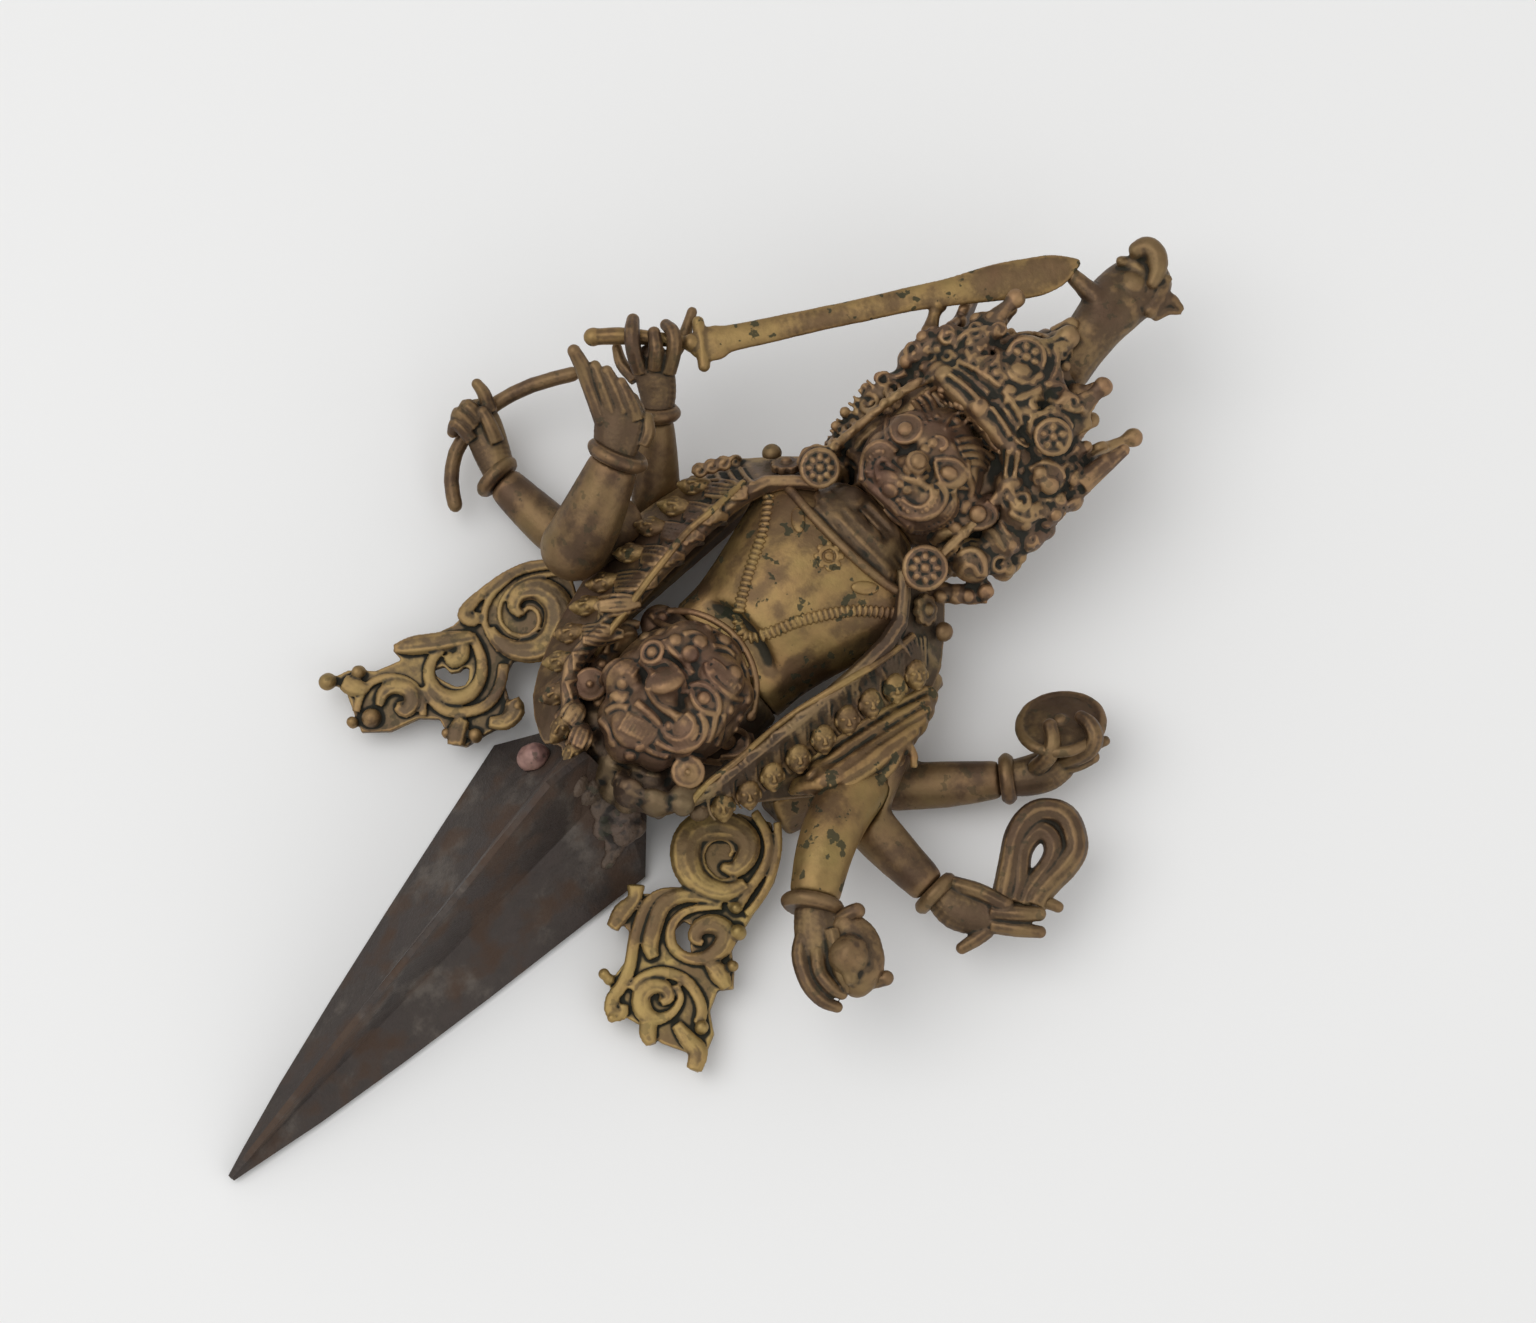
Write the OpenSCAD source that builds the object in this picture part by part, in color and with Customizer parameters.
// Ritual dagger (phurba): a three-finned iron blade under a cast figure with three faces,
// six arms, a belly mask, a garland of heads and a horse's head on the crown.
// It lies on its back. X is the figure's left, Y runs from the point to the crown, Z is up.

/* [Blade] */
// Height of the blade's widest section above its point
blade_len = 100; // [90:1:108]
// Reach of each fin from the blade's axis
fin_reach = 23.7; // [19:0.1:26]
// Reach of the valley between two fins
valley_reach = 6.5; // [5:0.1:8]
// Width of a fin's worn edge
edge_w = 1.3; // [0.8:0.1:2]
// Height of the sloping shoulders above the widest section
shoulder_h = 10; // [8:0.5:11]
// Fin reach at the top of the shoulders
shoulder_reach = 14.6; // [12:0.1:16]
// Width of the square tang inside the hips
tang_w = 9; // [6:0.5:10]
// Length of the tang above the shoulders
tang_len = 22; // [14:1:28]
// Gap between the tang and its socket
tang_gap = 0.2; // [0.1:0.05:0.4]

/* [Lie] */
// Angle at which the blade rises from the table
blade_tilt = 6.5; // [5.5:0.1:7.5]
// Angle by which the figure leans from the blade's axis
figure_lean = 6; // [0:0.5:9]
// Sideways step of the figure at the hips
lean_shift = 2.2; // [0:0.1:3]

/* [Body] */
// Height of the joint between hips and waist
waist_y = 143; // [141:0.5:145]
// Half width of the waist
waist_a = 15.5; // [14:0.1:16.5]
// Half depth of the waist
waist_b = 12.5; // [11:0.1:13.5]
// Half width of the chest at the shoulders
chest_a = 22; // [20:0.1:23]
// Depth of the flat on the hips that carries the belly mask
mask_seat_z = 9; // [7:0.5:10]
// Radius of the belly mask
mask_r = 16; // [14:0.1:17]

/* [Head] */
// Height of the chin
chin_y = 186; // [184:0.5:188]
// Half width of the head
head_a = 17; // [15:0.1:18]
// Half depth of the head
head_b = 16; // [14:0.1:17]
// Radius of the front face
face_r = 13.5; // [12:0.1:14.5]
// Radius of each side face
side_face_r = 11.5; // [10:0.1:12]
// Height of the crown band
crown_y = 214; // [212:0.5:216]
// Radius of the crown band
crown_r = 17.6; // [16.5:0.1:19]
// Thickness of a crown leaf
leaf_t = 2; // [1.4:0.1:2.6]
// Size of the horse's head
horse_size = 1.2; // [1:0.05:1.3]

/* [Garland] */
// Thickness of the garland's band
band_t = 2.6; // [2:0.1:3.4]
// Radius of the raised rim along the band's inner edge
rim_r = 1.4; // [1:0.1:1.8]
// Radius of a severed head
severed_r = 2.5; // [2:0.1:2.9]
// Number of severed heads on each half of the garland
severed_n = 12; // [9:1:13]

/* [Arms] */
// Radius of the front arms' wrists
front_wrist_r = 5.2; // [4.4:0.1:6]
// Radius of the rear arms' wrists
rear_wrist_r = 4; // [3.4:0.1:4.6]
// Length of a bracelet along the arm
bracelet_t = 3; // [2:0.1:4]
// Height of a bracelet above the wrist
bracelet_h = 1.3; // [0.8:0.1:2]
// Radius of a finger at its root
finger_r = 1.7; // [1.3:0.05:2]

/* [Attributes] */
// Length of the sword's blade
sword_len = 78; // [70:1:84]
// Greatest width of the sword's blade
sword_w = 9; // [7:0.1:11]
// Thickness of the sword's blade
sword_t = 2.2; // [1.6:0.1:3]
// Radius of the sword's hilt
hilt_r = 1.6; // [1.2:0.05:2]
// Radius of the bow's rod
bow_r = 1.7; // [1.3:0.05:2.1]
// Radius of the wheel
wheel_r = 9.2; // [8:0.1:10]
// Thickness of the wheel
wheel_t = 2.4; // [1.8:0.1:3]
// Radius of the noose's rope
rope_r = 2.4; // [1.8:0.1:2.6]
// Radius of a bead of the sacred thread
bead_r = 1.35; // [1:0.05:1.6]

/* [Scroll plates] */
// Thickness of a scroll plate
plate_t = 3; // [2.2:0.1:3.6]

/* [Hidden] */
$fn = 40;
brass = [0.55, 0.42, 0.22];
gilt = [0.66, 0.5, 0.26];
dark = [0.4, 0.31, 0.2];
iron = [0.23, 0.18, 0.16];
copper = [0.5, 0.32, 0.28];
seat_gap = 0.1;
point_r = 1;
hip_y = blade_len + 5;
figure_y = 105;
mask_y = 131;
scroll_bottom = -7.5;
shoulder_y = blade_len + shoulder_h;
head_z = -1;
crown_seat_r = crown_r - 1.1;
horse_y = 238;

// Direction of a vector
function unit(v) = v / norm(v);
// Entry of a list, held at its ends
function pick(p, i) = p[max(0, min(len(p) - 1, i))];
// Vector d turned by an angle towards n
function bend(d, n, angle) = cos(angle) * d + sin(angle) * n;
// First three entries of a row
function xyz(s) = [s[0], s[1], s[2]];
// Smooth curve through the rows p, with k steps to a span
function spline(p, k) = [
  for (i = [0:len(p) - 2], j = [0:k - 1])
    let (t = j / k, a = pick(p, i - 1), b = p[i], c = p[i + 1], d = pick(p, i + 2))
      b + t / 2 * (c - a) + t * t / 2 * (2 * a - 5 * b + 4 * c - d)
        + t * t * t / 2 * (3 * b - a - 3 * c + d),
  p[len(p) - 1]];
// Direction of a curve at its point i
function tangent(c, i) = unit(pick(c, i + 1) - pick(c, i - 1));
// Oval ring of n points round c, square to t, with b measured towards up
function ring(c, t, up, a, b, n) =
  let (v = unit(up - (up * t) * t), u = cross(v, t))
    [for (j = [0:n - 1]) c + a * cos(360 * j / n) * u + b * sin(360 * j / n) * v];
// Middle of a ring
function middle(r) = [for (s = r) 1] * r / len(r);

// Closed solid through a row of rings, capped at its two middles
module skin(rings) {
  n = len(rings[0]);
  m = len(rings);
  walls = [for (i = [0:m - 2], j = [0:n - 1])
    let (a = i * n + j, b = i * n + (j + 1) % n) each [[a, a + n, b], [b, a + n, b + n]]];
  caps = [for (j = [0:n - 1]) let (k = (j + 1) % n)
    each [[m * n, j, k], [m * n + 1, (m - 1) * n + k, (m - 1) * n + j]]];
  polyhedron(points = [for (r = rings) each r, middle(rings[0]), middle(rings[m - 1])],
    faces = concat(walls, caps));
}

// Swept solid: rows hold x, y, z, half width and half height
module limb(rows, n = 12, k = 3, up = [0, 0, 1], dome0 = 0, dome1 = 0, axis = undef) {
  q = spline(rows, k);
  c = [for (s = q) xyz(s)];
  m = len(q) - 1;
  t = [for (i = [0:m]) is_undef(axis) ? tangent(c, i) : axis];
  tail = [for (f = dome0 > 0 ? [72, 38] : [])
    ring(c[0] - dome0 * sin(f) * t[0], t[0], up, q[0][3] * cos(f), q[0][4] * cos(f), n)];
  nose = [for (f = dome1 > 0 ? [38, 72] : [])
    ring(c[m] + dome1 * sin(f) * t[m], t[m], up, q[m][3] * cos(f), q[m][4] * cos(f), n)];
  skin(concat(tail, [for (i = [0:m]) ring(c[i], t[i], up, q[i][3], q[i][4], n)], nose));
}

// Places its children with their Z along d and their Y towards up
module along(p, d, up = [0, 0, 1]) {
  t = unit(d);
  v = unit(up - (up * t) * t);
  u = cross(v, t);
  multmatrix([[u[0], v[0], t[0], p[0]], [u[1], v[1], t[1], p[1]], [u[2], v[2], t[2], p[2]]])
    children();
}

// Blade's frame, laid on the table
module laid() translate([0, 0, point_r]) rotate([blade_tilt, 0, 0]) children();
// Figure's frame, leaning at the hips
module lean() translate([lean_shift, hip_y, 0]) rotate([0, 0, -figure_lean])
  translate([0, -figure_y, 0]) children();
module figure() laid() lean() children();
// Everything below the table
module below_table() translate([-150, -20, -60]) cube([300, 320, 60]);

// Reach of the fins at a height on the blade
function fin_r(y) = y <= blade_len ? max(point_r * 0.8, fin_reach * pow(y / blade_len, 0.82))
  : fin_reach + (shoulder_reach - fin_reach) * (y - blade_len) / shoulder_h;
function valley_r(y) = min(valley_reach, max(0.4, valley_reach * pow(min(y, blade_len) / blade_len, 0.95)));
// Three-finned section, with a narrow flat along each edge
function star(y) = let (r = fin_r(y), v = valley_r(y), e = min(edge_w, r * 0.5) / 2)
  [for (f = [90, 210, 330]) each [
    [r * cos(f) + e * sin(f), y, r * sin(f) - e * cos(f)],
    [r * cos(f) - e * sin(f), y, r * sin(f) + e * cos(f)],
    [v * cos(f + 60), y, v * sin(f + 60)]]];
function turned(r) = [for (i = [len(r) - 1:-1:0]) r[i]];

module blade_solid() skin([for (y = [0, 6, 20, 40, 60, 80, blade_len, shoulder_y]) turned(star(y))]);
module tang(g = 0) translate([-tang_w / 2 - g, shoulder_y - 1, -tang_w / 2 - g])
  cube([tang_w + 2 * g, tang_len + 1 + g, tang_w + 2 * g]);

module blade() color(iron) laid() {
  blade_solid();
  tang();
}

// Copper rivet head closed over the left fin
rivet_at = [-10.7, blade_len + 3, -1.8];
rivet_r = 3.4;
module fin_rivet() color(copper) laid() difference() {
  translate(rivet_at) sphere(rivet_r);
  blade_solid();
}

// Iron scale and filler at the root of the right fin
module root_lump() color(iron) laid() difference() {
  for (s = [[11.5, 3.6, -2.6, 3], [13.6, 5.8, -3.6, 2.6], [10, 6.6, -1.6, 2.8]])
    translate([s[0], blade_len + s[1], s[2]]) sphere(s[3]);
  blade_solid();
}

// Hips: socket of the blade and seat of the belly mask
module hips_skin() limb([[0, figure_y - 1, 0, 13, 11], [0, figure_y + 7, 0, 14.5, 12],
  [0, figure_y + 17, 0, 16, 13], [0, waist_y - 10, 0, 16.5, 13.2],
  [0, waist_y, 0, waist_a, waist_b]], n = 20, k = 2, axis = [0, 1, 0]);
// Round flat let into hips and waist for the belly mask and its diadem
module mask_pocket() translate([0, mask_y, mask_seat_z]) cylinder(h = 20, r = mask_r + 4.6);
module hips_block() difference() {
  hips_skin();
  translate([-30, figure_y - 15, mask_seat_z]) cube([60, 60, 20]);
}
module hips() color(dark) laid() difference() {
  lean() hips_block();
  translate([-40, 0, -40]) cube([80, shoulder_y, 80]);
  tang(tang_gap);
}

// Torso from the waist to the neck
torso_rows = [[0, waist_y, 0, waist_a, waist_b], [0, 150, 0.5, 15.6, 12.6], [0, 160, 1, 18, 13.4],
  [0, 168, 0.5, chest_a - 1.5, 13.6], [0, 175, 0, chest_a, 13], [0, 180, 0, 16, 11.5],
  [0, 184, 1, 10.5, 10], [0, chin_y + 1, 2, 9, 9]];
torso_rings = spline(torso_rows, 2);
// Row of the torso at height y
function torso_row(y) =
  let (i = max([for (j = [0:len(torso_rings) - 2]) torso_rings[j][1] <= y ? j : 0]),
    f = (y - torso_rings[i][1]) / (torso_rings[i + 1][1] - torso_rings[i][1]))
    torso_rings[i] * (1 - f) + torso_rings[i + 1] * f;
// Point on the torso's front
function on_chest(x, y) = let (s = torso_row(y)) [x, y, s[2] + s[4] * sqrt(max(0.02, 1 - pow(x / s[3], 2)))];
// Direction out of the torso's front
function chest_out(x, y) = let (d = 0.5, p = on_chest(x, y))
  unit(cross(on_chest(x + d, y) - p, on_chest(x, y + d) - p));
module torso_skin() limb(torso_rows, n = 20, k = 2, axis = [0, 1, 0]);
// Recess in the neck for the front face's jaw
module chin_pocket() translate([0, face_y - jaw_drop * face_r, face_seat_z]) cylinder(h = 20, r = jaw_w * face_r + 0.3);
module torso() color(gilt) figure() difference() {
  torso_skin();
  mask_pocket();
  chin_pocket();
}

// Raised collar across the chest
collar_y = 175.6;
collar_r = 1.3;
module neck_collar() color(brass) figure() limb([for (x = [-13.5:2.7:13.5])
  concat(on_chest(x, collar_y) + collar_r * chest_out(x, collar_y), [collar_r, collar_r])],
  n = 8, k = 1, up = [0, 1, 0], dome0 = 1, dome1 = 1);

// Low round boss with a flat foot
module boss(r, h) intersection() {
  R = (r * r + h * h) / (2 * h);
  translate([0, 0, h - R]) sphere(R);
  translate([-r - 1, -r - 1, 0]) cube([2 * r + 2, 2 * r + 2, h + 1]);
}
module on_torso(x, y) along(on_chest(x, y), chest_out(x, y), [0, 1, 0]) children();

module chest_pendants() color(brass) figure() {
  for (x = [-8, 10]) on_torso(x, 171) {
    boss(2.1, 1.6);
    translate([0, -2.2, 0]) boss(1.5, 1.2);
  }
  on_torso(1, 170.9) {
    boss(1.8, 1.6);
    for (f = [0:60:300]) rotate(f) translate([2.6, 0, 0]) boss(1.1, 1);
  }
}

// Beaded sacred thread, from both shoulders to a point above the mask
thread_rows = [[-15.5, 172], [-12.5, 166], [-8.5, 159], [-4, 153], [1, 149], [6, 154.5], [11, 162.5], [15.5, 169.5], [18.5, 173]];
module sacred_thread() color(brass) figure() {
  path = spline(thread_rows, 16);
  run = [for (i = 0, s = 0; i < len(path); s = s + (i + 1 < len(path) ? norm(path[i + 1] - path[i]) : 0), i = i + 1) s];
  pitch = 1.75 * bead_r;
  n = floor(run[len(run) - 1] / pitch);
  for (k = [0:n]) {
    i = max([for (j = [0:len(run) - 1]) run[j] <= k * pitch ? j : 0]);
    on_torso(path[i][0], path[i][1]) boss(bead_r, bead_r * 1.25);
  }
}

// Wrathful face on a flat back, for a dome of radius r; drawn at the front face's own size
face_unit = 13.5;
jaw_drop = 0.52;
jaw_w = 0.64;
module wrathful_face(r) scale(r / face_unit) {
  eye = [6, 2.4, 6.4];
  difference() {
    union() {
      boss(face_unit, 8);
      translate([0, -jaw_drop * face_unit, 0]) boss(jaw_w * face_unit, 8.2);
      for (s = [-1, 1]) translate([s * 7.6, -2.6, 4.4]) sphere(3.9);
    }
    translate([0, -9.6, 10.2]) sphere(3.6);
    for (s = [-1, 1]) translate([s * eye[0], eye[1], eye[2] + 1]) sphere(2.9);
    translate([-20, -20, -20]) cube([40, 40, 20]);
  }
  for (s = [-1, 1]) {
    translate([s * eye[0], eye[1], eye[2]]) sphere(2.5);
    along([s * eye[0], eye[1], eye[2] + 1.2], [s * 0.35, 0.1, 1], [0, 1, 0])
      rotate_extrude() translate([2.9, 0]) circle(0.75);
    along([s * eye[0], eye[1] + 0.6, eye[2] + 0.2], [s * 0.4, 0.25, 1], [0, 1, 0])
      rotate([0, 0, 15]) rotate_extrude(angle = 150) translate([4.7, 0]) circle(1.2);
    translate([s * 2, -2.6, 9]) sphere(1.7);
    along([s * 8.2, -7, 4.6], [s * 0.4, -0.2, 1], [0, 1, 0])
      rotate_extrude() translate([1.5, 0]) circle(0.8);
    for (x = [1.4, 3.6]) along([s * x, -7.2, 8.4 - 0.25 * x], [0, -1, 0.25], [0, 0, 1])
      cylinder(h = x > 2 ? 3 : 1.8, r1 = 0.75, r2 = 0.2);
  }
  along([0, 5.4, 7], [0, -7, 3.6], [0, 0, 1]) cylinder(h = 7.4, r1 = 1.3, r2 = 2.1);
  translate([0, -1.9, 10.5]) sphere(2.2);
  along([0, -15, 6.4], [0, -0.2, 1], [0, 1, 0]) rotate([0, 0, 38]) rotate_extrude(angle = 104)
    translate([8.8, 0]) circle(1.2);
  along([0, -4.6, 4.4], [0, -0.25, 1], [0, 1, 0]) rotate([0, 0, 212]) rotate_extrude(angle = 116)
    translate([8.8, 0]) circle(1.2);
  translate([0, -10.6, 5.6]) sphere(2.6);
  translate([0, 8.2, 6.2]) sphere(1.5);
  along([0, 8.2, 6.9], [0, 0.3, 1], [0, 1, 0]) rotate_extrude() translate([1.9, 0]) circle(0.55);
}

module belly_mask() color(dark) figure() translate([0, mask_y, mask_seat_z + seat_gap])
  wrathful_face(mask_r * 0.94);

// Jewelled diadem round the belly mask's brow
diadem_r = mask_r * 0.94 + 1.9;
module mask_diadem() color(brass) figure() for (f = [-72:14.4:72])
  translate([diadem_r * sin(f), mask_y + diadem_r * cos(f), mask_seat_z + seat_gap]) boss(1.9, 3.6);

// Rosette of petals round a boss, with a flat back
module rosette(r, petals = 8) {
  cylinder(h = 1.2, r = r * 0.86);
  for (f = [0:360 / petals:359]) rotate(f) translate([r * 0.7, 0, 0]) cylinder(h = 1.6, r = r * 0.3);
  translate([0, 0, 1.2]) boss(r * 0.4, 1.6);
}
mask_disc_r = 3.6;
module mask_ear_discs() color(brass) figure() for (s = [-1, 1])
  translate([s * (mask_r * 0.94 + mask_disc_r * 0.3), 120.4, 14.8]) rosette(mask_disc_r);

// Garland: stations hold the inner rim and the outer edge of the right band
garland_rows = [
  [[12.4, 181, 8.4], [21, 184, -2]], [[19.8, 173.6, 9.4], [30, 174.5, -4]], [[21.5, 164, 11], [34, 163, -4]], [[21.5, 154, 12], [36, 151, -4]],
  [[21, 144, 12], [35, 140, -4]], [[20.2, 135, 12.5], [32, 129, -3]], [[19.6, 127, 13], [28, 119, -2]],
  [[18.5, 119.5, 13], [22, 110, 0]], [[12.5, 113.5, 13.5], [14, 105.5, 4]], [[4.4, 111, 14.5], [5.4, 104, 8]]];
garland_k = 2;
rim_line = spline([for (s = garland_rows) s[0]], garland_k);
edge_line = spline([for (s = garland_rows) s[1]], garland_k);
function band_frame(i) = let (w = unit(edge_line[i] - rim_line[i]),
  t = unit(pick(rim_line, i + 1) - pick(rim_line, i - 1) + pick(edge_line, i + 1) - pick(edge_line, i - 1)))
  [w, unit(cross(t, w))];
function band_ring(i) = let (f = band_frame(i), w = f[0], d = f[1], a = rim_line[i], b = edge_line[i])
  [b + 0.8 * w - 0.4 * band_t * d, b + 0.2 * d, a + 1.7 * rim_r * w, a + rim_r * (0.8 * w + 0.9 * d),
    a - rim_r * (0.4 * w - 1.1 * d), a - rim_r * w, a - band_t * d, b - 0.9 * band_t * d];
module band_skin() skin([for (i = [0:len(rim_line) - 1]) band_ring(i)]);
// Strand i of the hair that ties a head to the rim
function hang(i) = let (f = garland_k + (i + 0.5) / severed_n * (len(rim_line) - 1 - garland_k), j = floor(f), g = f - j,
  a = rim_line[j] * (1 - g) + rim_line[j + 1] * g, b = edge_line[j] * (1 - g) + edge_line[j + 1] * g) [a, b, band_frame(j)];
module right_band() {
  band_skin();
  for (i = [0:severed_n - 1]) {
    h = hang(i);
    along(h[0] + 0.9 * h[2][0], h[1] - h[0], h[2][1]) cylinder(h = 4, r = 1, $fn = 16);
  }
}
module garland(side) difference() {
  figure() difference() {
    mirror([side < 0 ? 1 : 0, 0, 0]) right_band();
    hips_block();
    torso_skin();
  }
  laid() translate([0, 0, seat_gap]) blade_solid();
}
module garland_right() color(dark) garland(1);
module garland_left() color(dark) garland(-1);

// Severed head on a flat back, hair up
module severed_head(r) {
  boss(r, r * 1.05);
  translate([0, -r * 0.62, 0]) boss(r * 0.78, r * 1.1);
  translate([0, -r * 0.42, r * 0.75]) sphere(r * 0.3);
  for (s = [-1, 1]) translate([s * r * 0.42, r * 0.05, r * 0.82]) sphere(r * 0.22);
}
module right_heads() for (i = [0:severed_n - 1]) {
  h = hang(i);
  w = h[2][0];
  d = h[2][1];
  along(h[0] + (5 + severed_r) * w + 0.5 * d, d, -w) severed_head(severed_r);
}
module severed_heads_right() color(gilt) figure() right_heads();
module severed_heads_left() color(gilt) difference() {
  figure() mirror([1, 0, 0]) right_heads();
  laid() translate([0, 0, seat_gap]) blade_solid();
}

// Cape behind a band, from the shoulder to the hip, flat where it lies on the table
cape_first = garland_k;
cape_last = 5 * garland_k;
function cape_ring(i) = let (f = band_frame(i), w = f[0], d = f[1], b = edge_line[i],
  under = b - (0.9 * band_t + 2 * seat_gap) * d)
  [under + 0.6 * w, under - 5 * w, [23.5, b[1], -13], [23, b[1], -24], [31, b[1], -26], [b[0] + 0.6, b[1], -13]];
module right_cape() skin([for (i = [cape_first:cape_last]) cape_ring(i)]);
module left_cape() mirror([1, 0, 0]) right_cape();
module cape(side) difference() {
  figure() mirror([side < 0 ? 1 : 0, 0, 0]) right_cape();
  below_table();
}
module cape_right() color(dark) cape(1);
module cape_left() color(dark) cape(-1);

// Rosette and knobs that clasp the cape on each shoulder
module shoulder_clasps() color(brass) figure() for (s = [-1, 1]) mirror([s < 0 ? 1 : 0, 0, 0]) {
  f = band_frame(1);
  p = (rim_line[1] + edge_line[1]) / 2 + 0.35 * f[1];
  along(p - 1.2 * f[0], f[1], [0, 1, 0]) rosette(3.4);
  along(p + 4.6 * f[0] + [1.6, -0.6, 0], f[1], [0, 1, 0]) boss(2, 2.6);
}

// Head: three-sided core, crown seat and hair
head_rows = [[0, chin_y + 1, 0, 8.6, 9], [0, chin_y + 5, -1, head_a - 4, head_b - 2],
  [0, 200, head_z, head_a - 2, head_b - 1], [0, crown_y - 2, head_z, crown_seat_r - 0.6, crown_seat_r - 0.6]];
hair_rows = [[0, crown_y + 3, head_z, crown_seat_r - 1, crown_seat_r - 1], [0, 222, head_z, 13, 12.4],
  [0, 231, head_z, 8.6, 8.4], [0, horse_y, head_z, 6.4, 6.6]];
face_y = crown_y - 2.6 - face_r;
face_seat_z = 8.4;
side_seat = 11;
module to_side_face(s) translate([0, face_y - 1, head_z]) rotate([0, s * 104, 0]) translate([0, 0, side_seat]) children();
module head_core() {
  difference() {
    limb(head_rows, n = 20, k = 2, axis = [0, 1, 0]);
    translate([-30, 150, face_seat_z]) cube([60, crown_y - 2.5 - 150, 30]);
    for (s = [-1, 1]) to_side_face(s) translate([-12.4, -40, 0]) cube([24.8, 53, 30]);
  }
  along([0, crown_y - 2.5, head_z], [0, 1, 0]) cylinder(h = 6, r = crown_seat_r);
  limb(hair_rows, n = 16, k = 2, axis = [0, 1, 0]);
}
module head() color(dark) figure() head_core();
module front_face() color(gilt) figure() translate([0, face_y, face_seat_z + seat_gap]) wrathful_face(face_r);
module side_face(s) figure() to_side_face(s) translate([0, 0, seat_gap]) wrathful_face(side_face_r);
module right_face() color(dark) side_face(-1);
module left_face() color(dark) side_face(1);

// Round ear pendants with the strap that holds each to the crown
ear_r = 4.2;
module ear_pendants() color(brass) figure() for (s = [-1, 1]) {
  translate([s * 15.6, 183.4, 10.1]) rosette(ear_r);
  limb([[s * 15.6, 186.8, 10.9, 1.2, 0.9], [s * 15.4, 194, 10, 1.3, 0.9], [s * 14.8, 203, 10, 1.2, 0.9],
    [s * 13.6, crown_y - 3.2, 10.4, 1.1, 0.9]], n = 8, k = 2);
}

// Crown band of three strands with ringed studs
module crown_band() color(brass) figure() {
  along([0, crown_y - 2, head_z], [0, 1, 0]) rotate_extrude() {
    translate([crown_seat_r + seat_gap, 0]) square([0.8, 4.4]);
    for (y = [0.8, 2.2, 3.6]) translate([crown_seat_r + 0.9, y]) circle(0.75);
  }
  for (f = [-36, 0, 36]) translate([0, crown_y + 0.2, head_z]) rotate([0, f, 0])
    translate([0, 0, crown_seat_r + 0.8]) {
      cylinder(h = 1.4, r = 1.9);
      translate([0, 0, 1.4]) rotate_extrude() translate([1.3, 0]) circle(0.6);
      translate([0, 0, 1.2]) sphere(0.9);
    }
}

// Crown leaves: turn round the head, outward tilt and size
leaves = [[0, -20, 1.35], [49, 2, 1.15], [-49, 2, 1.15], [92, 20, 1.15], [-92, 20, 1.15],
  [136, 4, 1], [-136, 4, 1], [180, -10, 1.1]];
module crown_leaf() {
  linear_extrude(leaf_t) {
    translate([0, 5]) circle(4.6);
    for (s = [-1, 1]) translate([s * 3.4, 2.4]) circle(2.4);
    for (s = [-1, 1]) translate([s * 3.2, 9.4]) circle(1.7);
    polygon([[-3.6, 0], [3.6, 0], [4.4, 6], [2.6, 11], [0.9, 15], [-0.9, 15], [-2.6, 11], [-4.4, 6]]);
  }
  translate([0, 5, leaf_t - 0.2]) {
    boss(2.2, 1.8);
    rotate_extrude() translate([3.1, 0]) circle(0.7);
  }
  translate([0, 16, leaf_t / 2]) sphere(1.9);
  translate([0, 10.5, leaf_t]) sphere(1);
}
module crown_leaves() color(brass) figure() for (f = leaves)
  translate([0, crown_y + 3.6 + 0.5 * leaf_t * f[2] * sin(abs(f[1])), head_z]) rotate([0, f[0], 0])
    translate([0, 0, crown_seat_r - 0.4]) rotate([f[1], 0, 0]) translate([0, 0, -leaf_t / 2]) scale(f[2]) crown_leaf();

// Horse's neck rising from the hair, and its head
module neck_core() limb([[0, horse_y + seat_gap, head_z, 6, 6.2], [0.3, 242, -0.6, 5.8, 6.2],
  [0.3, 248, 0, 5.4, 6], [0, 254, 0, 5.4, 6.4]], n = 14, k = 2, axis = [0, 1, 0]);
module horse_neck() color(dark) figure() {
  neck_core();
  for (i = [0:4]) translate([0.3, 240.5 + 3 * i, -6.4]) sphere(1.5);
}
module horse_head() color(dark) figure() translate([0, 254 + seat_gap, 0]) scale(horse_size) {
  difference() {
    union() {
      limb([[0, 3.4, -5.4, 3.6, 3.3], [0, 4.6, -2, 4.4, 4.6], [0, 4.8, 3, 3.6, 4], [0, 4.8, 8, 2.9, 3.2],
        [0, 4.8, 10.5, 2.9, 3]], n = 12, k = 2, up = [0, 1, 0], dome0 = 2, dome1 = 2.4);
      for (s = [-1, 1]) {
        translate([s * 3.6, 6, -0.6]) sphere(1.5);
        translate([s * 1.7, 6.6, 11.4]) sphere(1.1);
        limb([[s * 2.2, 6.6, -4, 1.5, 0.9], [s * 3, 9, -5.6, 1.4, 0.8], [s * 3.3, 11, -7, 0.7, 0.5]],
          n = 8, k = 2, up = [1, 0, 0], dome1 = 0.8);
      }
      for (i = [0:3]) translate([0, 8.4 - i * 0.8, -3 - i * 1.6]) sphere(1.4);
    }
    translate([-8, -20, -20]) cube([16, 20, 40]);
    along([-6, 2.6, 8.6], [1, 0, 0], [0, 1, 0.1]) linear_extrude(12)
      polygon([[-1.2, 0], [8, -1.3], [8, 1]]);
  }
}

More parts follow.
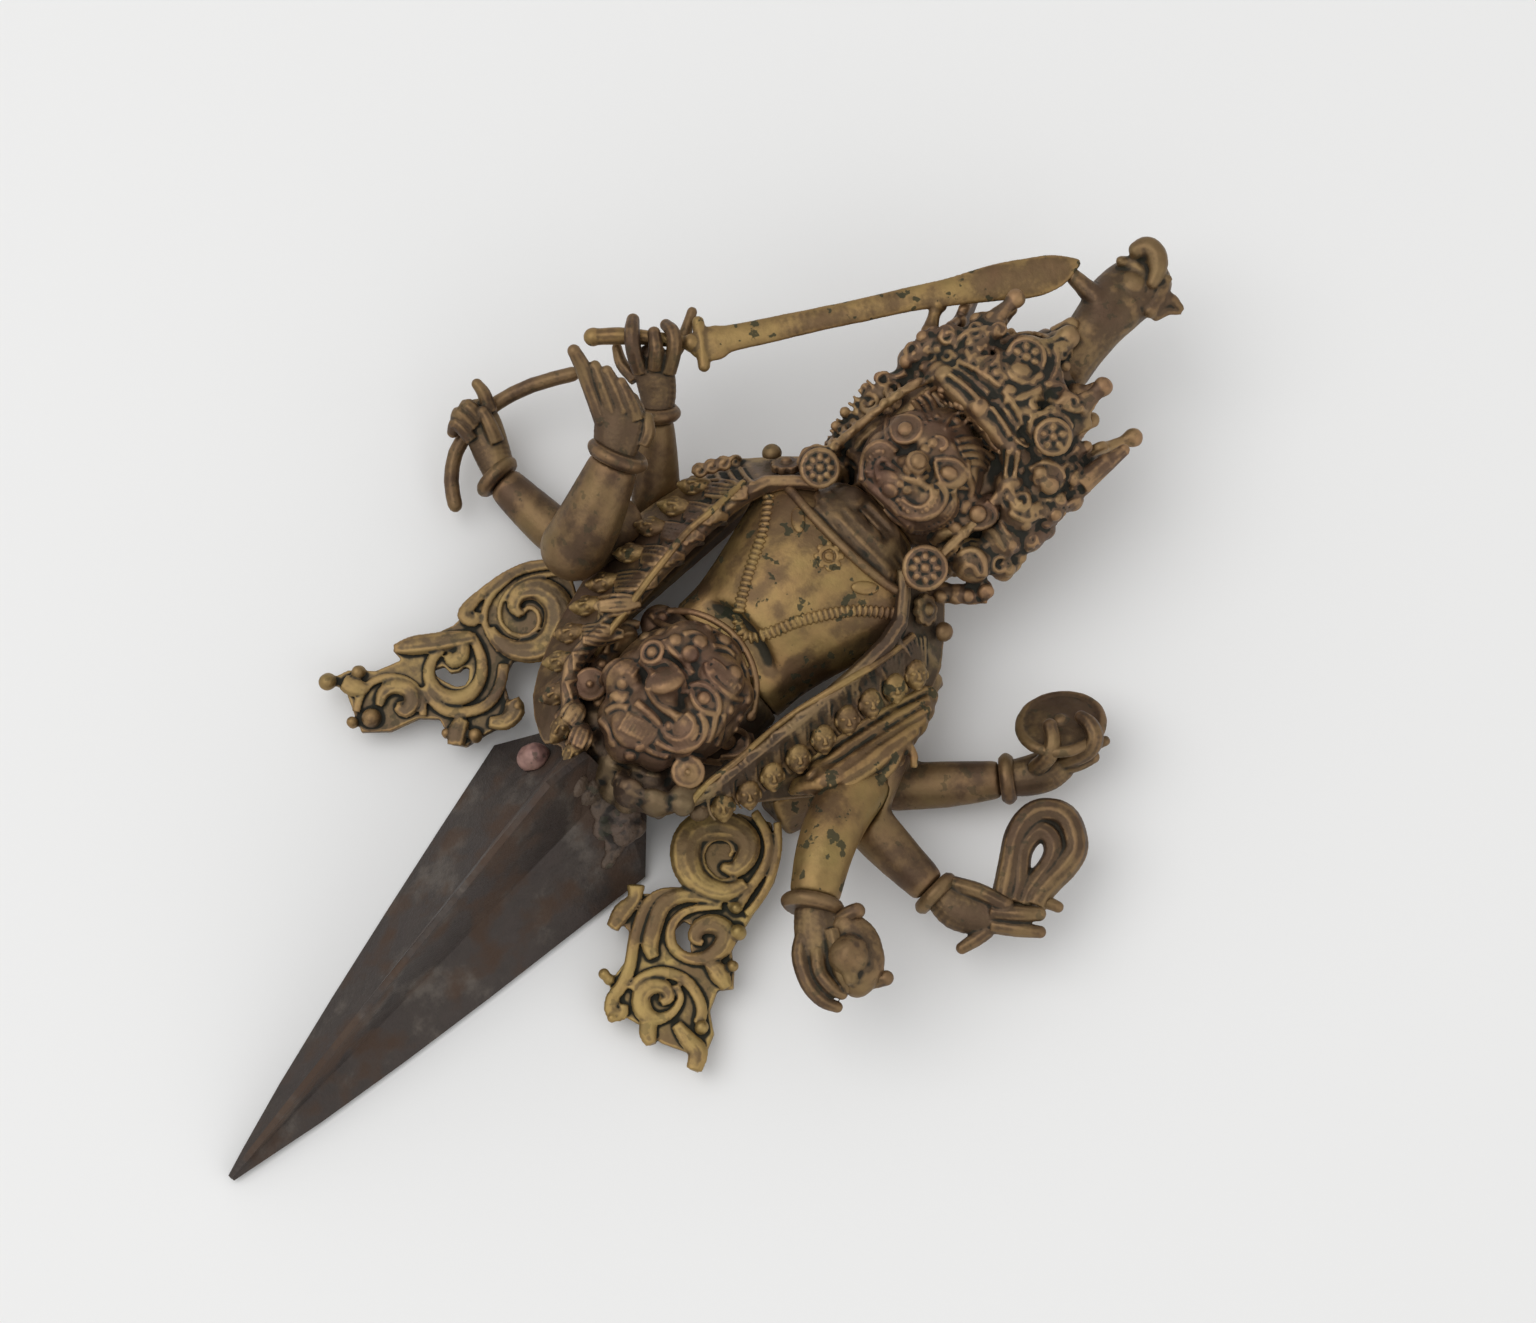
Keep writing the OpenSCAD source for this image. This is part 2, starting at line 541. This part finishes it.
// Arms: rows hold x, y, z, half width and half height; the last row is the wrist
function side_x(s, rows) = [for (r = rows) [s * r[0], r[1], r[2], r[3], r[4]]];
w1 = front_wrist_r;
w2 = rear_wrist_r;
palm_upper = [[-35, 149, -3, 6.2, 6.2], [-37.5, 142, 1, 6.4, 6.4], [-37.5, 136.5, 5.5, 6.8, 6.8]];
palm_fore = [[-37.5, 136.5, 6.5, 7, 6.8], [-38.6, 143, 11, 6.8, 6.6], [-42.5, 153.7, 16, w1, w1]];
sword_upper = [[-31, 161, -11, 5, 5], [-35.5, 155, -9.5, 5.2, 5.2]];
sword_fore = [[-35.5, 155, -9.5, 5.3, 5.2], [-41.5, 161, -4.5, 5, 5], [-47.3, 166.9, 0, w2, w2]];
bow_fore = [[-28, 141.5, -11, 5, 4.8], [-37.5, 138.4, -11, 5.2, 4.9], [-50, 136.6, -10.8, 5, 4.8], [-62.2, 135.9, -10, w2, w2]];
wheel_upper = [[29, 159, -12, 5, 4.8], [40.5, 152, -12.4, 5, 4.9]];
wheel_fore = [[40.5, 152, -12.4, 5.1, 5], [47.5, 160, -12, 4.9, 4.8], [54, 168.2, -11.5, w2, w2]];
noose_upper = [[34, 158, -1, 5, 5], [41, 142, -1.5, 5.4, 5.2]];
noose_fore = [[41, 142, -1.5, 5.4, 5.2], [50, 141.8, -3, 5, 5], [61.4, 142.2, -4, w2, w2]];
fruit_fore = [[36.5, 149, -3, 6.2, 6.2], [38.5, 140.5, 3.5, 6.4, 6.4], [42.6, 132, 8, 6, 6], [48.9, 123.2, 10, w1, w1]];

// Arm in two tapered lengths with a round elbow, cut back to the cape and band that carry it
module bent_arm(upper, fore, side) figure() difference() {
  union() {
    limb(upper, n = 12, k = 1);
    translate(xyz(fore[0])) sphere(fore[0][3]);
    limb(fore, n = 12, k = 3);
  }
  mirror([side < 0 ? 1 : 0, 0, 0]) {
    right_cape();
    band_skin();
  }
}
module straight_arm(fore, side) figure() difference() {
  limb(fore, n = 12, k = 3);
  mirror([side < 0 ? 1 : 0, 0, 0]) {
    right_cape();
    band_skin();
  }
}
module palm_arm() color(brass) bent_arm(palm_upper, palm_fore, -1);
module sword_arm() color(brass) bent_arm(sword_upper, sword_fore, -1);
module bow_arm() color(brass) straight_arm(bow_fore, -1);
module wheel_arm() color(brass) bent_arm(wheel_upper, wheel_fore, 1);
module noose_arm() color(brass) difference() {
  bent_arm(noose_upper, noose_fore, 1);
  figure() limb(fruit_fore, n = 12, k = 3);
}
module fruit_arm() color(brass) straight_arm(fruit_fore, 1);

// Direction of an arm at its wrist
function wrist_dir(rows) = let (c = [for (s = spline(rows, 3)) xyz(s)]) tangent(c, len(c) - 1);
function wrist(rows) = xyz(rows[len(rows) - 1]);
module bracelet(rows, r) color(gilt) figure() along(wrist(rows), wrist_dir(rows)) rotate_extrude() {
  square([r + 0.4 * bracelet_h, bracelet_t]);
  translate([r, bracelet_t / 2]) circle(min(bracelet_h, bracelet_t / 2));
}
module palm_bracelet() bracelet(palm_fore, w1);
module sword_bracelet() bracelet(sword_fore, w2);
module bow_bracelet() bracelet(bow_fore, w2);
module wheel_bracelet() bracelet(wheel_fore, w2);
module noose_bracelet() bracelet(noose_fore, w2);
module fruit_bracelet() bracelet(fruit_fore, w1);

// Finger from a knuckle: first pitch and further curl towards n, with a spread to the side
module finger(base, dir, n, l, pitch, curl, spread = 0, r = finger_r) {
  side = cross(n, dir);
  d = bend(dir, side, spread);
  a = base + 0.42 * l * bend(d, n, pitch);
  b = a + 0.33 * l * bend(d, n, pitch + curl);
  c = b + 0.25 * l * bend(d, n, pitch + 2 * curl);
  limb([concat(base, [r, r]), concat(a, [0.95 * r, 0.95 * r]), concat(b, [0.85 * r, 0.85 * r]),
    concat(c, [0.7 * r, 0.7 * r])], n = 6, k = 2, up = cross(n, d), dome1 = 0.6 * r);
}
// Hand from the face of a bracelet: it turns from the arm's direction to dir, palm towards n
module hand(rows, dir, n, size, r, fingers, thumb) {
  d0 = wrist_dir(rows);
  h = unit(dir);
  p = unit(n - (n * h) * h);
  side = cross(p, h);
  w = wrist(rows) + bracelet_t * d0;
  m1 = w + 0.2 * size * d0;
  m2 = m1 + 0.35 * size * h;
  knuckle = m1 + 0.9 * size * h;
  difference() {
    union() {
      limb([concat(w, [0.8 * r, 0.8 * r]), concat(m1, [0.9 * r, 0.85 * r]), concat(m2, [0.62 * size, 0.34 * size]),
        concat(knuckle, [0.56 * size, 0.24 * size])], n = 10, k = 2, up = p, dome1 = 0.15 * size);
      for (i = [0:3]) finger(knuckle - 0.1 * size * h + (i - 1.5) * 0.29 * size * side, h, p,
        fingers[i][0] * size, fingers[i][1], fingers[i][2], (1.5 - i) * -2);
      finger(m2 + 0.5 * size * side * thumb[3], bend(h, side * thumb[3], thumb[1]), p, thumb[0] * size, thumb[2], 24);
    }
    along(w - 6 * d0, d0) cylinder(h = 6, r = 3 * r);
  }
}
palm_size = 9.5;
module palm_hand() color(brass) figure()
  hand(palm_fore, [-0.9, 0.36, 0.22], [0.5, 0.3, 1], palm_size, w1,
    [[1.05, 4, 6], [1.2, 2, 5], [1.15, 2, 5], [0.9, 6, 8]], [0.9, 35, 10, -1]);
grip = [[1.2, 30, 75], [1.2, 34, 75], [1.15, 38, 75], [1.05, 42, 75]];
rear_size = 7.6;
module sword_hand() color(brass) figure() difference() {
  hand(sword_fore, [-0.35, 0.6, 0.4], [-0.6, -0.2, 0.6], rear_size, w2, grip, [0.8, 30, 40, 1]);
  sword_hilt(seat_gap);
}
module bow_hand() color(brass) figure() difference() {
  hand(bow_fore, [-0.9, 0.3, 0.1], [0.2, 0.2, 1], rear_size, w2, grip, [0.8, 40, 40, 1]);
  bow_core(bow_r + seat_gap);
}
module wheel_hand() color(brass) figure() difference() {
  hand(wheel_fore, [0.55, 0.8, 0], [-0.6, 0.4, 0.7], rear_size, w2, grip, [0.9, 35, 30, 1]);
  wheel_core(seat_gap);
}
module noose_hand() color(brass) figure() difference() {
  hand(noose_fore, [0.9, 0.2, 0], [0, 0.5, 0.8], rear_size, w2,
    [[1.5, 5, 10], [1.2, 34, 75], [1.2, 34, 75], [1.4, 8, 10]], [0.9, 40, 40, 1]);
  noose_core(rope_r + seat_gap);
}
module fruit_hand() color(brass) figure() difference() {
  hand(fruit_fore, [0.75, -0.6, 0], [0.3, 0.3, 0.9], palm_size * 1.05, w1,
    [[1.15, 24, 30], [1.15, 26, 34], [1.15, 26, 34], [1.1, 30, 34]], [1, 40, 45, 1]);
  fruit_core(seat_gap);
}

// Sword: a broad leaf of a blade, its guard and hilt
sword_guard = [-51.2, 184.9, 5.2];
sword_angle = 58.2;
hilt_angle = 45;
hilt_len = 23;
module at_guard() translate(sword_guard) rotate([0, 0, sword_angle]) children();
module sword_hilt(g = 0) at_guard() rotate([0, 0, hilt_angle - sword_angle]) rotate([0, -90, 0])
  cylinder(h = hilt_len, r = hilt_r + g);
module sword_outline() polygon([[0, -3.6], [2.4, -3], [8, -1.9], [0.24 * sword_len, -2.4],
  [0.55 * sword_len, -0.36 * sword_w], [0.8 * sword_len, -0.5 * sword_w], [0.93 * sword_len, -0.42 * sword_w],
  [sword_len, 0.5], [0.95 * sword_len, 0.4 * sword_w], [0.82 * sword_len, 0.5 * sword_w],
  [0.55 * sword_len, 0.36 * sword_w], [0.24 * sword_len, 2], [8, 1.9], [2.4, 3], [0, 3.6]]);
module sword() color(brass) figure() {
  at_guard() translate([0, 0, -sword_t / 2]) linear_extrude(sword_t) sword_outline();
  sword_hilt();
  at_guard() rotate([0, 0, hilt_angle - sword_angle]) {
    translate([-1.6, 0, 0]) sphere(3);
    translate([-hilt_len, 0, 0]) sphere(2.4);
    translate([-hilt_len - 1, -2, 0]) sphere(1.6);
  }
}
module strut(a, b, r) along(a, b - a) cylinder(h = norm(b - a), r = r);
module sword_struts() color(brass) figure() difference() {
  union() {
    strut([-27.6, 226, 5], [-20.2, 222, 4], 1.5);
    strut([-9.5, 250.5, 4.6], [-3, 250.2, 2], 1.4);
  }
  at_guard() translate([0, 0, -5]) linear_extrude(10) sword_outline();
  translate([0.3, 240, 0]) rotate([-90, 0, 0]) cylinder(h = 20, r = 6);
}

// Bow's rod, bent round the fist
bow_rows = [[-67.9, 161.7, -6], [-72.5, 154, -7.6], [-75.1, 146, -8.8], [-75, 139, -9.6], [-73.5, 133, -10],
  [-69.5, 128.2, -10], [-65.3, 125.5, -10]];
module bow_core(r) limb([for (p = bow_rows) concat(p, [r, r])], n = 8, k = 2, dome0 = r, dome1 = r);
module bow_rod() color(dark) figure() bow_core(bow_r);

// Wheel with a raised rim, spokes and hub
wheel_at = [54.6, 184.6, -8];
wheel_n = [-0.5, 0.35, 0.8];
module wheel_core(g = 0) along(wheel_at - (wheel_t / 2 + g) * unit(wheel_n), wheel_n)
  cylinder(h = wheel_t + 2 * g, r = wheel_r + g);
module wheel() color(dark) figure() along(wheel_at - wheel_t / 2 * unit(wheel_n), wheel_n) {
  cylinder(h = wheel_t - 0.8, r = wheel_r - 0.6);
  rotate_extrude() translate([wheel_r - 1, wheel_t / 2]) circle(wheel_t / 2);
  for (f = [0:45:315]) rotate(f) translate([0, -0.7, 0]) cube([wheel_r - 1, 1.4, wheel_t - 0.3]);
  cylinder(h = wheel_t, r = 2.4);
  translate([0, 0, wheel_t]) boss(1.6, 1);
}

// Noose: a doubled rope whose two ends run into the fist
noose_rows = [[67.4, 147, -3], [68, 152.5, -3], [66.4, 159.5, -3.6], [65.4, 164.5, -4.2],
  [67.5, 169.4, -4.6], [72.5, 170.2, -4.8], [75.8, 166, -4.6], [76.6, 161, -4.2],
  [75.4, 154.5, -3.8], [73.2, 147, -4]];
module noose_core(r) limb([for (p = noose_rows) concat(p, [r, r])], n = 8, k = 2, dome0 = r * 0.6, dome1 = r * 0.6);
module noose() color(brass) figure() noose_core(rope_r);

// Fruit lying in the cupped hand
module fruit_core(g = 0) {
  translate([62.6, 120.4, 14.2]) sphere(4.2 + g);
  along([62.6, 120.4, 14.2], [0.7, -0.6, 0.2]) cylinder(h = 6, r1 = 3.4 + g, r2 = 1 + g);
}
module fruit() color(dark) figure() fruit_core();

// Scroll plates: a web with strands laid on it, in the figure's own frame
right_web = [[21, 118], [23.5, 124.5], [29.5, 128], [34.5, 124.5], [39, 118], [41, 111], [43, 104.5],
  [46.5, 102], [49, 99.5], [47, 97], [49, 93], [53, 90.5], [56, 84], [52, 84], [47, 81.5], [42, 81],
  [36, 79], [31, 82], [30, 87], [26, 92], [22.5, 92], [21, 98], [25, 102], [27, 107], [22, 110]];
right_opening = [[32, 101.5], [34, 102], [35.5, 100], [38, 98], [37, 96.5], [34.5, 97], [32, 99]];
// Middle line and width of each strand
right_strands = [
  [[29, 114.5, 1.2], [31.5, 116, 2.4], [31.5, 119.5, 3], [29.5, 122, 3.4], [25.5, 121.5, 3.8],
    [21.5, 119, 4.4], [20.5, 114.5, 4.4], [22.5, 111, 4.4], [26.5, 109, 4], [30.5, 109.5, 3.2],
    [34, 112, 2.8], [35.5, 115.5, 1.8]],
  [[25.5, 127, 1.2], [30.5, 126, 1.6], [33.5, 123.5, 1.6], [35.5, 120, 1.4], [36.5, 114.5, 1.4],
    [37.5, 111, 1.4]],
  [[30.5, 129, 1.2], [34.5, 125, 1.4], [38, 120, 1.4], [39.5, 115, 1.2], [40, 111.5, 1]],
  [[35, 109.5, 0.8], [31, 107, 1.6], [28, 104.5, 2.2], [27, 100.5, 2.4], [28.5, 97, 2.4],
    [31, 93, 2.4], [33.5, 92, 1.6]],
  [[27.5, 106, 0.8], [25, 102.5, 1.2], [24.5, 98.5, 1.6], [26, 95, 1.6], [28.5, 91.5, 1.6],
    [31.5, 87.5, 1.8], [33, 83.5, 1.8], [34.5, 80.5, 1.8], [38, 79.5, 1.4]],
  [[35.5, 109, 0.6], [32, 105.5, 1], [31, 102, 1.2], [31.5, 98.5, 1.4], [34, 96.5, 1.6],
    [38, 97, 1.6], [40.5, 99.5, 2], [41.5, 103.5, 2.8], [39.5, 106.5, 2.8], [37, 105.5, 2.8],
    [35.5, 103, 2.4], [36, 100.5, 1.8], [38, 101.5, 1]],
  [[35.5, 84.5, 0.8], [35, 87.5, 1.2], [37, 91.5, 1.2], [41, 93.5, 1.4], [45, 93.5, 1.6],
    [48, 92, 2], [49.5, 89.5, 2]],
  [[41, 87, 1], [39.5, 89.5, 2], [37.5, 88, 2.4], [37.5, 85, 2.6], [40.5, 83, 2.6], [43, 84.5, 1.8],
    [44.5, 87.5, 1.2], [43, 90.5, 1], [40.5, 91.5, 0.8]],
  [[41.5, 99, 1], [44.5, 99.5, 2.8], [48, 98.5, 1.6]],
  [[20, 99.5, 2.6], [22, 97, 2], [22, 93.5, 2.6], [23.5, 90, 1.8]],
  [[46.5, 86.5, 1.6], [50.5, 86, 2.4], [53.5, 86, 2.8], [55.5, 82.5, 2.2]],
  [[42.5, 82.5, 2.4], [44, 81, 2.4], [46, 80, 1.6]]];
// Middle and radius of each bead
right_knobs = [[37.5, 111, 1.2], [41.5, 108, 1.6], [50.5, 89.5, 1.4], [30.5, 82.5, 1.2],
  [45.5, 102.5, 1.2], [37, 79, 1.2]];
left_web = [[-39, 134], [-44, 127], [-46, 119], [-45.5, 108], [-48, 101], [-50.5, 95.5],
  [-47.5, 95.5], [-49.5, 90], [-53.5, 86], [-55, 81], [-51, 83], [-46, 81], [-42, 79.5], [-38, 84],
  [-36, 90], [-33, 93], [-29, 92], [-25, 93], [-24, 98], [-22.5, 104], [-26, 106], [-30, 108],
  [-31.5, 112], [-28, 117], [-26, 124], [-31, 130]];
left_opening = [[-41.5, 99], [-40.5, 101], [-38.5, 101], [-37.5, 102.5], [-37.5, 104],
  [-36.5, 104.5], [-35, 103], [-34.5, 101.5], [-35.5, 100], [-38, 99], [-40, 98.5]];
left_strands = [
  [[-37, 119.5, 1.2], [-39.5, 120, 2], [-41, 122.5, 2.6], [-39, 126, 3.4], [-35, 127, 4],
    [-31.5, 125, 4.2], [-29, 121, 4], [-29.5, 117, 3.6], [-33, 113.5, 2.8], [-36.5, 112.5, 2],
    [-39.5, 113.5, 1.2]],
  [[-40, 133, 1], [-43.5, 128, 1.2], [-45.5, 123, 1.4], [-46, 118, 1.4], [-46, 113.5, 1.8],
    [-45.5, 111, 2], [-43, 112, 1.8], [-43.5, 113.5, 1.2]],
  [[-41, 109.5, 1.8], [-43, 106, 2.6], [-45.5, 102.5, 2.8], [-48, 98.5, 2.6], [-50, 96, 1.2]],
  [[-41, 107, 1.8], [-39.5, 105.5, 2.2], [-41.5, 103, 1.2]],
  [[-43, 103, 1.4], [-43, 100, 1.6], [-41, 97.5, 1.8], [-37.5, 96.5, 2], [-34, 98, 2.2],
    [-32.5, 101, 2.2], [-33, 104.5, 1.8], [-35.5, 107.5, 1.6], [-38.5, 109, 1.4], [-41.5, 109.5, 1]],
  [[-32, 110.5, 0.8], [-29, 106.5, 1.2], [-28, 102.5, 1.6], [-30, 98.5, 1.6], [-33, 95, 1.6],
    [-36.5, 94.5, 1.6], [-39.5, 95.5, 1]],
  [[-25.5, 106.5, 2.2], [-23, 102.5, 2.4], [-25, 100, 1.6]],
  [[-29.5, 96.5, 2], [-28, 94, 2.8], [-26.5, 92, 2.4]],
  [[-41, 88.5, 1.2], [-39, 91.5, 2.4], [-41.5, 92.5, 2.4], [-44, 91, 2.2], [-45, 88, 1.8],
    [-43.5, 86, 1.2]],
  [[-52, 83.5, 2.2], [-50, 84.5, 2.8], [-48, 86, 1.8]]];
left_knobs = [[-25, 96, 1.4], [-42.5, 83, 2], [-54.5, 81.5, 1.8], [-51.5, 87.5, 1.4], [-29.5, 92, 1],
  [-44.5, 79.5, 1.2], [-23.5, 106.5, 1.2]];
// Flat strand along a row of middle points and widths
function strand_side(c, s) = [for (i = [0:len(c) - 1])
  let (t = unit([for (k = [0, 1]) pick(c, i + 1)[k] - pick(c, i - 1)[k]]))
    [c[i][0] - s * t[1] * c[i][2] / 2, c[i][1] + s * t[0] * c[i][2] / 2]];
module strand(rows) {
  c = spline(rows, 2);
  polygon(concat(strand_side(c, 1), turned(strand_side(c, -1))));
}
module scroll_plate(web, opening, strands, knobs) translate([0, 0, scroll_bottom]) {
  linear_extrude(plate_t - 0.8) difference() {
    polygon(web);
    polygon(opening);
  }
  linear_extrude(plate_t) for (s = strands) strand(s);
  for (k = knobs) translate([k[0], k[1], plate_t - 0.6]) sphere(k[2]);
}
module scroll_right() color(gilt) figure() difference() {
  scroll_plate(right_web, right_opening, right_strands, right_knobs);
  right_cape();
  band_skin();
}
module scroll_left() color(gilt) figure() difference() {
  scroll_plate(left_web, left_opening, left_strands, left_knobs);
  left_cape();
  mirror([1, 0, 0]) band_skin();
}

blade();
fin_rivet();
root_lump();
hips();
torso();
neck_collar();
chest_pendants();
sacred_thread();
belly_mask();
mask_diadem();
mask_ear_discs();
garland_right();
garland_left();
severed_heads_right();
severed_heads_left();
cape_right();
cape_left();
shoulder_clasps();
head();
front_face();
right_face();
left_face();
ear_pendants();
crown_band();
crown_leaves();
horse_neck();
horse_head();
palm_arm();
sword_arm();
bow_arm();
wheel_arm();
noose_arm();
fruit_arm();
palm_bracelet();
sword_bracelet();
bow_bracelet();
wheel_bracelet();
noose_bracelet();
fruit_bracelet();
palm_hand();
sword_hand();
bow_hand();
wheel_hand();
noose_hand();
fruit_hand();
sword();
sword_struts();
bow_rod();
wheel();
noose();
fruit();
scroll_right();
scroll_left();
